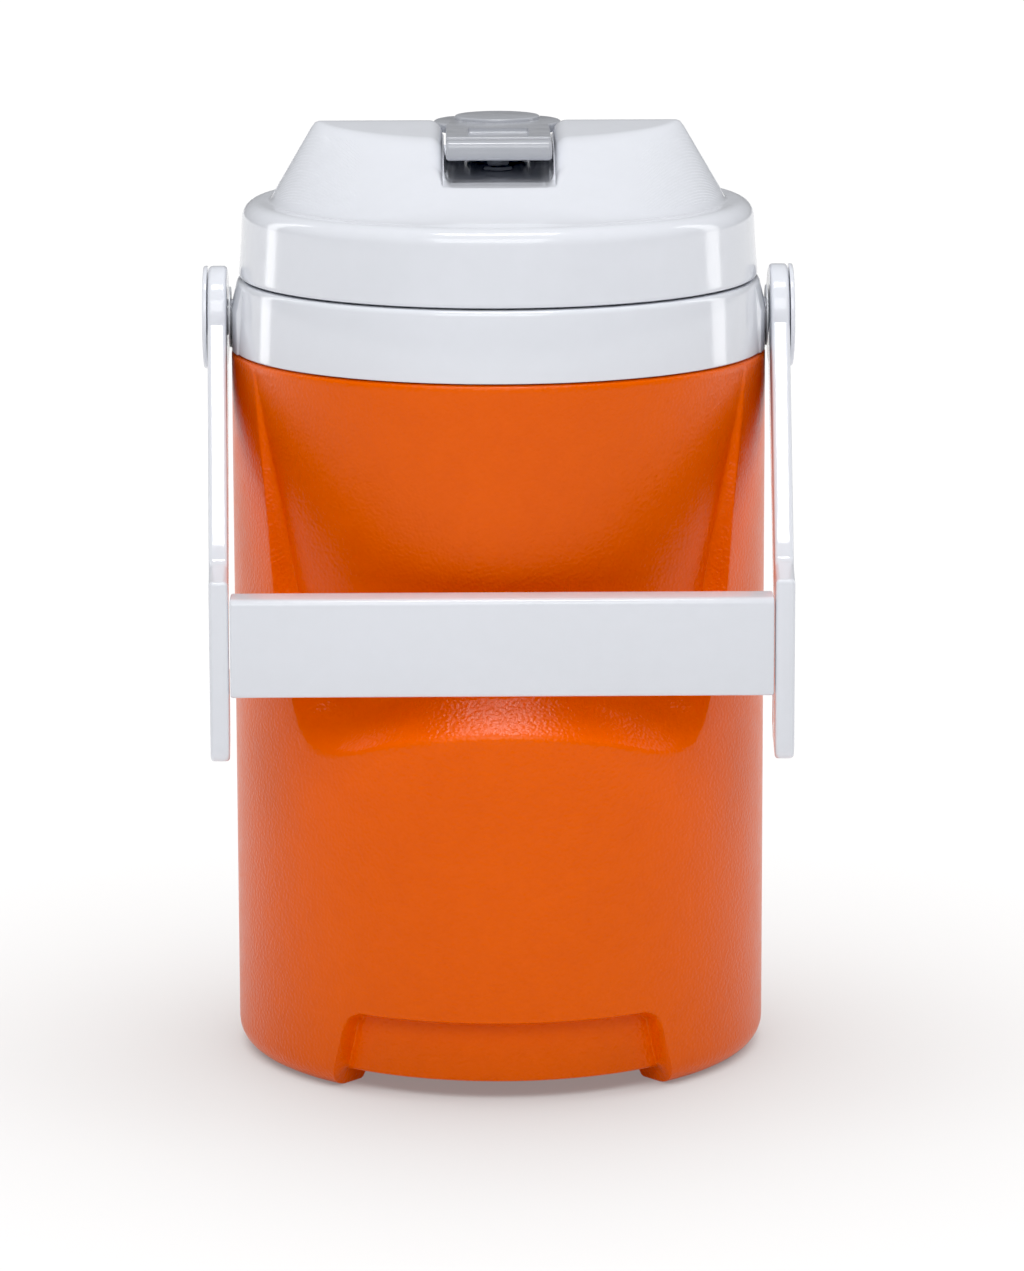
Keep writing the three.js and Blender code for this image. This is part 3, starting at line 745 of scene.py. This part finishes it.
def make_threads():
    tree = thread_tree()
    shared = {"Rise": THREAD_LEAD * THREAD_TURNS * MM, "Turns": THREAD_TURNS, "Starts": 2}
    size = {"Radius": 63.4 * MM, "Thickness": 1.45 * MM, "Material": white}
    neck = from_tree("neck_thread", tree, {**shared, **size})
    place_mesh(neck, 0, 221.9)
    finish_piece(neck, "jug", "white_gloss")
    size = {"Radius": 66.0 * MM, "Thickness": 1.4 * MM, "Material": liner_white}
    inner = from_tree("lid_thread", tree, {**shared, **size})
    place_mesh(inner, math.radians(135), 223.9)
    finish_piece(inner, "lid", "liner_white")


# ---- liner, lid lining and small turned pieces ---------------------------------------------------


def make_turned(name, profile, radii, ride, finish, replaced, centre=(0.0, 0.0), columns=144):
    """A turned piece; finish is its slot, which is not used, and its material."""
    points, faces = turned(rounded(profile, radii, 4), centre, columns)
    make_piece(name, points, faces, ride, *finish, replaced, 30)


def make_lining():
    lining = ("liner_white", liner_white)
    cup = [(0.01, 18.2), (58.6, 18.2), (58.6, 232.3), (62.4, 232.3)]
    cup += [(62.4, 233.8), (56.8, 233.8), (56.8, 20), (0.01, 20)]
    radii = [0, 4.6, 0.3, 0.3, 0.5, 0.7, 5, 0]
    make_turned("drink_liner", cup, radii, "jug", lining, ["inner_liner"])
    skirt = [(5, 236.4), (66.2, 236.4), (66.2, 222), (68.4, 222), (69, 238.2), (5, 238.2)]
    make_turned("lid_lining", skirt, [0, 1.2, 0.4, 0.5, 1.5, 0], "lid", lining, ["lid_inner"])
    seal = [(57, 234.3), (62.3, 234.3), (62.0, 236.1), (57.4, 236.1)]
    make_turned("seal_ring", seal, 0.6, "lid_seal", ("silicone", silicone), ["lid_gasket"])
    plug = [(0.01, 0), (16, 0), (16, 4.7), (11.7, 4.7), (11.7, 7.2), (0.01, 7.2)]
    radii = [0, 1.2, 0.4, 0, 0.3, 0]
    make_turned("base_plug", plug, radii, "jug", ("body_orange", orange), ["fill_plug"], columns=72)


def make_spout():
    spout, vent = (0, SPOUT_Y), (0, VENT_Y)
    soft = ("silicone", silicone)
    tube = [(5, 238.6), (6.6, 238.6), (6.6, 250.3), (8.6, 250.3)]
    tube += [(8.6, 251.9), (7.4, 252.4), (7.0, 257.2), (5, 257.2)]
    radii = [0.2, 0.2, 0, 0.2, 0.5, 0.6, 0.8, 0.5]
    make_turned("spout_tube", tube, radii, "lid", ("spout_grey", grey), ["drink_spout"], spout, 72)
    valve = [(1.3, 238.6), (2.6, 238.6), (2.6, 250.3), (4, 250.3), (3.8, 251.1), (1.3, 251.1)]
    make_turned("air_valve", valve, [0, 0, 0, 0.2, 0.3, 0.2], "lid", soft, ["vent_valve"], vent, 48)
    stopper = [(0.01, 255.4), (4.2, 255.4), (4.2, 257.5), (7, 257.5), (7, 259.1), (0.01, 259.1)]
    radii = [0, 0.8, 0.2, 0.4, 0.3, 0]
    make_turned("spout_stopper", stopper, radii, "flip_cap", soft, ["spout_plug"], spout, 60)
    stub = [(0.01, 250.3), (0.9, 250.3), (0.9, 251.5), (3, 251.5), (3, 259.1), (0.01, 259.1)]
    radii = [0, 0.3, 0.1, 0.6, 0.2, 0]
    make_turned("air_stopper", stub, radii, "flip_cap", soft, ["vent_plug"], vent, 40)


# ---- slabs with rounded edges --------------------------------------------------------------------


def inset(outline, amount):
    """The closed outline moved inwards, mitred. Points run anticlockwise."""
    outline = np.asarray(outline, float)
    before = outline - np.roll(outline, 1, 0)
    after = np.roll(outline, -1, 0) - outline
    before /= np.linalg.norm(before, axis=1)[:, None]
    after /= np.linalg.norm(after, axis=1)[:, None]
    normal = np.stack([-(before + after)[:, 1], (before + after)[:, 0]], 1)
    normal /= np.linalg.norm(normal, axis=1)[:, None]
    square = np.stack([-before[:, 1], before[:, 0]], 1)
    cosine = np.clip((normal * square).sum(1), 0.35, 1)
    return outline + normal * (amount / cosine)[:, None]


def slab(outline, low, high, edge, steps=4):
    """Levels of an outline from low to high with both rims rounded, as (points 2-D, level) pairs."""
    bend = [math.pi / 2 * k / steps for k in range(steps + 1)]
    lower = [(inset(outline, edge * (1 - math.sin(a))), low + edge * (1 - math.cos(a))) for a in bend]
    upper = [(inset(outline, edge * (1 - math.cos(a))), high - edge * (1 - math.sin(a))) for a in bend]
    return lower + upper


def slab_mesh(levels, place):
    """Points and faces of a slab; place turns 2-D points and their level into 3-D points."""
    rings = np.array([place(flat, level) for flat, level in levels])
    rows, columns = rings.shape[:2]
    faces = ring_faces(rows, columns)
    last = (rows - 1) * columns
    faces.append(tuple(reversed(range(columns))))
    faces.append(tuple(range(last, last + columns)))
    return rings.reshape(-1, 3), faces


def upright(flat, level):
    """Outline in X and Y, level along Z."""
    return np.column_stack([flat, np.full(len(flat), level)])


def sideways(flat, level):
    """Outline in Y and Z, level along X."""
    return np.column_stack([np.full(len(flat), level), flat])


def merged(parts):
    points, faces, offset = [], [], 0
    for p, f in parts:
        points.append(p)
        faces += [tuple(v + offset for v in face) for face in f]
        offset += len(p)
    return np.vstack(points), faces


def plain_mesh(name, shape):
    mesh = bpy.data.meshes.new(name)
    mesh.from_pydata((shape[0] * MM).tolist(), [], shape[1])
    return mesh


def without(shape, *cutters):
    """Points and faces of one closed shape with others taken out of it."""
    for cutter in cutters:
        meshes = [plain_mesh("kept", shape), plain_mesh("taken", cutter)]
        objects = [bpy.data.objects.new(m.name, m) for m in meshes]
        for item in objects:
            bpy.context.scene.collection.objects.link(item)
        modifier = objects[0].modifiers.new("cut", "BOOLEAN")
        modifier.operation = "DIFFERENCE"
        modifier.object = objects[1]
        bpy.context.view_layer.update()
        graph = bpy.context.evaluated_depsgraph_get()
        result = bpy.data.meshes.new_from_object(objects[0].evaluated_get(graph), depsgraph=graph)
        points = np.array([v.co for v in result.vertices]) / MM
        shape = (points, [tuple(p.vertices) for p in result.polygons])
        for item in objects:
            bpy.data.objects.remove(item)
        for used in (*meshes, result):
            bpy.data.meshes.remove(used)
    return shape


# ---- handle --------------------------------------------------------------------------------------

PIVOT_Z = 208.5
HUB_RADIUS = 14.4
ARM_INSIDE = 76.0
ARM_OUTSIDE = 81.2
ARM_LEAN = 0.0345
LEAN_START = -14.0


def arc(centre, radius, start, end, steps):
    turn = np.radians(np.linspace(start, end, steps))
    return [(centre[0] + radius * math.cos(a), centre[1] + radius * math.sin(a)) for a in turn]


def arm_outline():
    spread = math.degrees(math.asin(10 / HUB_RADIUS))
    hub = arc((0, PIVOT_Z), HUB_RADIUS, 225 + spread, 585 - spread, 56)
    shoulder = [(-67.9, PIVOT_Z + 14.14 - 67.9), (-71, 150.9), (-84.5, 149.2), (-87, 148.9)]
    foot = [(-87, 98.8), (-51.5, 98.8), (-51.5, 119.4), (-57.3, 119.4)]
    slot_inside = [(-57.4, 105.6), (-65.4, 105.6), (-65.4, 129.0)]
    path = shoulder + foot + slot_inside
    radii = [2.5, 2.0, 0, 3.6, 6, 6, 2.7, 2.7, 3.8, 3.8, 9]
    hook = rounded([hub[-1], *path, hub[0]], [0, *radii, 0], 7)
    return np.array(hub + hook[1:-1])


def make_arms():
    outline = arm_outline()
    for side, name in ((-1, "left"), (1, "right")):
        def place(flat, level):
            forward = np.minimum(flat[:, 0] - LEAN_START, 0)
            return np.column_stack([level + ARM_LEAN * forward, flat])

        points, faces = slab_mesh(slab(outline, ARM_INSIDE, ARM_OUTSIDE, 1.1), place)
        points[:, 0] *= side
        if side < 0:
            faces = [tuple(reversed(f)) for f in faces]
        replaced = [f"handle_arm_{name}"]
        make_piece(f"arm_{name}", points, faces, "handle", "white_gloss", white, replaced, 40)
        make_button(side, name)


def on_pivot(shape, side):
    """A turned shape laid over so that its axis is the handle's pivot, pointing out to one side."""
    points, faces = shape
    return np.column_stack([side * points[:, 2], side * points[:, 0], points[:, 1] + PIVOT_Z]), faces


def make_button(side, name):
    head = [(0.01, 71.8), (5, 71.8), (5, 81.5), (14.4, 81.5)]
    head += [(14.4, 82.7), (5.2, 82.7), (4.4, 82.0), (0.01, 82.0)]
    profile = rounded(head, [0, 0.3, 0, 0.2, 0.7, 0.3, 0.3, 0], 4)
    button = on_pivot(turned(profile, columns=96), side)
    make_piece(f"button_{name}", *button, "jug", "white_gloss", white, [f"pivot_button_{name}"], 30)
    ring = [(5.3, 75.1), (8.5, 75.1), (8.5, 75.5), (5.3, 75.5)]
    washer = on_pivot(turned(ring, columns=60), side)
    replaced = [f"pivot_washer_{name}"]
    make_piece(f"washer_{name}", *washer, "jug", "liner_white", liner_white, replaced, 30)


def make_bar():
    outline = rounded([(-87, 117), (-73.4, 117), (-73.4, 144), (-87, 144)], [2.2, 4, 4, 2.2], 6)
    levels = slab(outline, -73.1, 73.1, 0.5, 3)
    points, faces = slab_mesh(levels, sideways)
    make_piece("hand_bar", points, faces, "handle", "white_gloss", bar_white, ["grip_bar"], 40)


# ---- flip cap ------------------------------------------------------------------------------------

HINGE = (30.5, 256.5)


def rod_mesh(radius, x0, x1, y, z, edge=0.3, columns=48):
    turn = np.linspace(0, 2 * np.pi, columns, endpoint=False)
    circle = np.column_stack([y + radius * np.cos(turn), z + radius * np.sin(turn)])
    levels = slab(circle, x0, x1, edge, 2)
    return slab_mesh(levels, sideways)


def box_mesh(x, y, z, edge=0.4):
    outline = rounded([(x[0], y[0]), (x[1], y[0]), (x[1], y[1]), (x[0], y[1])], edge * 1.5, 3)
    return slab_mesh(slab(outline, z[0], z[1], edge, 3), upright)


def cap_outline():
    side = arc((0, 15.5), 18, -36, 36, 24)
    back = [(12.9, 27.6), (9, 27.6), (9, 33), (-9, 33), (-9, 27.6), (-12.9, 27.6)]
    right = [(14.5, -29), (14.5, 3.2), *side, *back]
    left = [(-x, y) for x, y in reversed(side)]
    path = [*right, *left, (-14.5, 3.2), (-14.5, -29)]
    radii = [0.8, 3.0] + [0] * 24 + [0.8, 0.3, 1.6, 1.6, 0.3, 0.8] + [0] * 24 + [3.0, 0.8]
    return rounded(path, radii, 4)


def make_cap():
    plate = slab_mesh(slab(cap_outline(), 259.4, 262.0, 0.7), upright)
    points, faces = without(plate, box_mesh((-8.4, 8.4), (-27.4, -6), (260.7, 266), 0.5))
    lip_outline = rounded([(-36, 255.8), (-30, 256.6), (-30, 261.6), (-36, 261.6)], [2.4, 1.2, 0.9, 2.6], 6)
    lip = slab_mesh(slab(lip_outline, -14.5, 14.5, 0.9, 4), sideways)
    neck = box_mesh((-13.8, 13.8), (-31, -27), (258.2, 261.2))
    disc = turned(rounded([(0.01, 261), (12, 261), (12, 263), (0.01, 263)], [0, 0, 0.7, 0], 4), (0, 20), 96)
    rim = turned(rounded([(11, 252.6), (13, 252.6), (13, 261), (11, 261)], [0.4, 0.4, 0, 0], 3), (0, 20), 96)
    behind = box_mesh((-20, 20), (32.8, 50), (240, 270))
    under_hinge = box_mesh((-20, 20), (27, 50), (240, 253.8))
    beside_ears = [box_mesh(x, (27, 45), (240, 270)) for x in ((9, 20), (-20, -9))]
    rim = without(rim, behind, under_hinge, *beside_ears)
    barrel = rod_mesh(2.7, -8.9, 8.9, *HINGE)
    web = box_mesh((-8.9, 8.9), (28.6, 32.4), (256.5, 260.5))
    points, faces = merged([(points, faces), lip, neck, disc, rim, barrel, web])
    make_piece("drink_cap", points, faces, "flip_cap", "spout_grey", grey, ["flip_cap"], 35)
    pin = rod_mesh(1.5, -14, 14, *HINGE, 0.3, 32)
    make_piece("cap_pin", *pin, "lid", "pin_steel", steel, ["hinge_pin"], 35)
    ears = [rod_mesh(2.7, x, x + 4.7, *HINGE) for x in (9.3, -14)]
    feet = [box_mesh((x, x + 4.7), (28.2, 31.4), (249.8, 256.5), 0.3) for x in (9.3, -14)]
    make_piece("cap_ears", *merged(ears + feet), "lid", "white_gloss", white, (), 35)


# ---- grip dots -----------------------------------------------------------------------------------

DOT_PITCH = 0.75
DOT_RADIUS = 0.24
DOT_HEIGHT = 0.12


def dots_tree():
    """Small low pyramids on points, each standing along the point's facing vector."""
    tree, entry = new_tree("grip_dots", [("Radius", 0.0002), ("Height", 0.00006)])
    node, link = tree.nodes.new, tree.links.new
    dot = node("GeometryNodeMeshCone")
    dot.inputs["Vertices"].default_value = 6
    link(entry.outputs["Radius"], dot.inputs["Radius Bottom"])
    link(entry.outputs["Height"], dot.inputs["Depth"])
    facing = node("GeometryNodeInputNamedAttribute")
    facing.data_type = "FLOAT_VECTOR"
    facing.inputs["Name"].default_value = "facing"
    turn = node("FunctionNodeAlignRotationToVector")
    turn.axis = "Z"
    link(facing.outputs["Attribute"], turn.inputs["Vector"])
    size = node("GeometryNodeInputNamedAttribute")
    size.data_type = "FLOAT"
    size.inputs["Name"].default_value = "share"
    placed = node("GeometryNodeInstanceOnPoints")
    link(entry.outputs["Geometry"], placed.inputs["Points"])
    link(dot.outputs["Mesh"], placed.inputs["Instance"])
    link(turn.outputs["Rotation"], placed.inputs["Rotation"])
    link(size.outputs["Attribute"], placed.inputs["Scale"])
    end_tree(tree, entry, placed)
    return tree


def dot_points():
    """Places in a three-way pattern on the dome's ends, with a size that fades towards its edges."""
    rows = np.arange(-60, 60, DOT_PITCH * 0.866)
    row = np.arange(-64, 64, DOT_PITCH)
    x = np.concatenate([row + DOT_PITCH / 2 * (k % 2) for k in range(len(rows))])
    y = np.repeat(rows, len(x) // len(rows))
    share = loft_share(x, y)
    fade = ease((np.abs(x) - 33) / 9) * ease((share - 0.05) / 0.06) * ease((0.93 - share) / 0.05)
    keep = fade > 0.2
    return x[keep], y[keep], fade[keep]


def make_dots():
    x, y, fade = dot_points()
    step = 0.05
    height = dome_height(x, y)
    slope_x = (dome_height(x + step, y) - dome_height(x - step, y)) / (2 * step)
    slope_y = (dome_height(x, y + step) - dome_height(x, y - step)) / (2 * step)
    facing = np.stack([-slope_x, -slope_y, np.ones_like(x)], 1)
    facing /= np.linalg.norm(facing, axis=1)[:, None]
    base = bpy.data.meshes.new("dot_places")
    base.from_pydata((np.stack([x, y, height], 1) * MM).tolist(), [], [])
    base.attributes.new("facing", "FLOAT_VECTOR", "POINT").data.foreach_set("vector", facing.ravel())
    base.attributes.new("share", "FLOAT", "POINT").data.foreach_set("value", fade)
    values = {"Radius": DOT_RADIUS * MM, "Height": DOT_HEIGHT * MM, "Material": lid_white}
    finish_piece(from_tree("grip_dots", dots_tree(), values, base), "lid", "white_gloss")


# ---- object --------------------------------------------------------------------------------------

make_shell()
make_foam()
make_collar()
make_lid()
make_threads()
make_dots()
make_lining()
make_spout()
make_arms()
make_bar()
make_cap()


# ---- floor, light and camera ---------------------------------------------------------------------


def make_floor():
    """A pale floor with a weak glow, so that the shadow under the jug stays light."""
    mesh = bpy.data.meshes.new("floor")
    mesh.from_pydata([(-9, -4, 0), (9, -4, 0), (9, 12, 0), (-9, 12, 0)], [], [(0, 1, 2, 3)])
    floor = bpy.data.objects.new("floor", mesh)
    bpy.context.scene.collection.objects.link(floor)
    material = bpy.data.materials.new("pale_floor")
    material.use_nodes = True
    shader = material.node_tree.nodes["Principled BSDF"]
    shader.inputs["Base Color"].default_value = (0.3, 0.3, 0.3, 1)
    shader.inputs["Emission Color"].default_value = (1, 1, 1, 1)
    shader.inputs["Emission Strength"].default_value = 0.22
    shader.inputs["Roughness"].default_value = 0.8
    shader.inputs["Specular IOR Level"].default_value = 0.1
    mesh.materials.append(material)
    return floor


def softbox(name, place, aim, width, height, watts):
    light = bpy.data.lights.new(name, "AREA")
    light.shape = "RECTANGLE"
    light.size = width
    light.size_y = height
    light.energy = watts
    lamp = bpy.data.objects.new(name, light)
    lamp.location = place
    lamp.rotation_euler = (Vector(aim) - Vector(place)).to_track_quat("-Z", "Y").to_euler()
    bpy.context.scene.collection.objects.link(lamp)
    return lamp


def ring_place(azimuth, distance, height):
    """A place round the jug: azimuth 0 in front, 90 to the right."""
    a = math.radians(azimuth)
    return (distance * math.sin(a), -distance * math.cos(a), height)


def left_out(name, item):
    """A collection that a light links to so as to pass by one object."""
    group = bpy.data.collections.new(name)
    group.objects.link(item)
    group.collection_objects[0].light_linking.link_state = "EXCLUDE"
    return group


def make_lights(floor):
    boxes = [
        softbox("front", (-0.1, -1.3, 1.05), (0, 0, 0.12), 1.3, 0.7, 9.2),
        softbox("overhead", (0, -0.21, 1.3), (0, -0.07, 0.1), 0.62, 0.22, 7.0),
        softbox("strip_left", ring_place(-119, 1.3, 0.45), (0, 0, 0.15), 0.2, 1.5, 2.8),
        softbox("strip_right", ring_place(108, 1.3, 0.45), (0, 0, 0.15), 0.24, 1.5, 3.4),
    ]
    off_floor = left_out("off_floor", floor)
    for box in boxes:
        box.light_linking.receiver_collection = off_floor
    boxes[1].light_linking.blocker_collection = left_out("past_the_bar", bpy.data.objects["hand_bar"])
    wash = bpy.data.lights.new("floor_wash", "SUN")
    wash.energy = 7.8
    wash.angle = math.radians(100)
    lamp = bpy.data.objects.new("floor_wash", wash)
    bpy.context.scene.collection.objects.link(lamp)
    lit = bpy.data.collections.new("floor_only")
    lit.objects.link(floor)
    lamp.light_linking.receiver_collection = lit
    world = bpy.data.worlds.new("studio")
    bpy.context.scene.world = world
    world.use_nodes = True
    back = world.node_tree.nodes["Background"]
    back.inputs["Color"].default_value = (1.0, 1.0, 1.0, 1)
    back.inputs["Strength"].default_value = 0.2


def make_camera():
    camera = bpy.data.cameras.new("view")
    camera.sensor_width = 36
    camera.sensor_fit = "AUTO"
    camera.lens = 157.6
    camera.clip_end = 50
    eye = bpy.data.objects.new("view", camera)
    bpy.context.scene.collection.objects.link(eye)
    around_axis, aside, down, roll = (math.radians(a) for a in (0.5, 0.132, 11.23, 0.17))
    distance, height = 1.552, 0.425
    eye.location = (-distance * math.sin(around_axis), -distance * math.cos(around_axis), height)
    heading = around_axis + aside
    ahead = Vector((math.sin(heading) * math.cos(down), math.cos(heading) * math.cos(down), -math.sin(down)))
    right = ahead.cross(Vector((0, 0, 1))).normalized()
    up = right.cross(ahead)
    turned_right = right * math.cos(roll) - up * math.sin(roll)
    turned_up = up * math.cos(roll) + right * math.sin(roll)
    axes = Matrix((turned_right, turned_up, -ahead)).transposed()
    eye.rotation_euler = axes.to_euler()
    bpy.context.scene.camera = eye


make_lights(make_floor())
make_camera()
view = bpy.context.scene.view_settings
view.view_transform = "Standard"
view.use_curve_mapping = True
view.curve_mapping.black_level = (0.012, 0.012, 0.012)
view.curve_mapping.update()
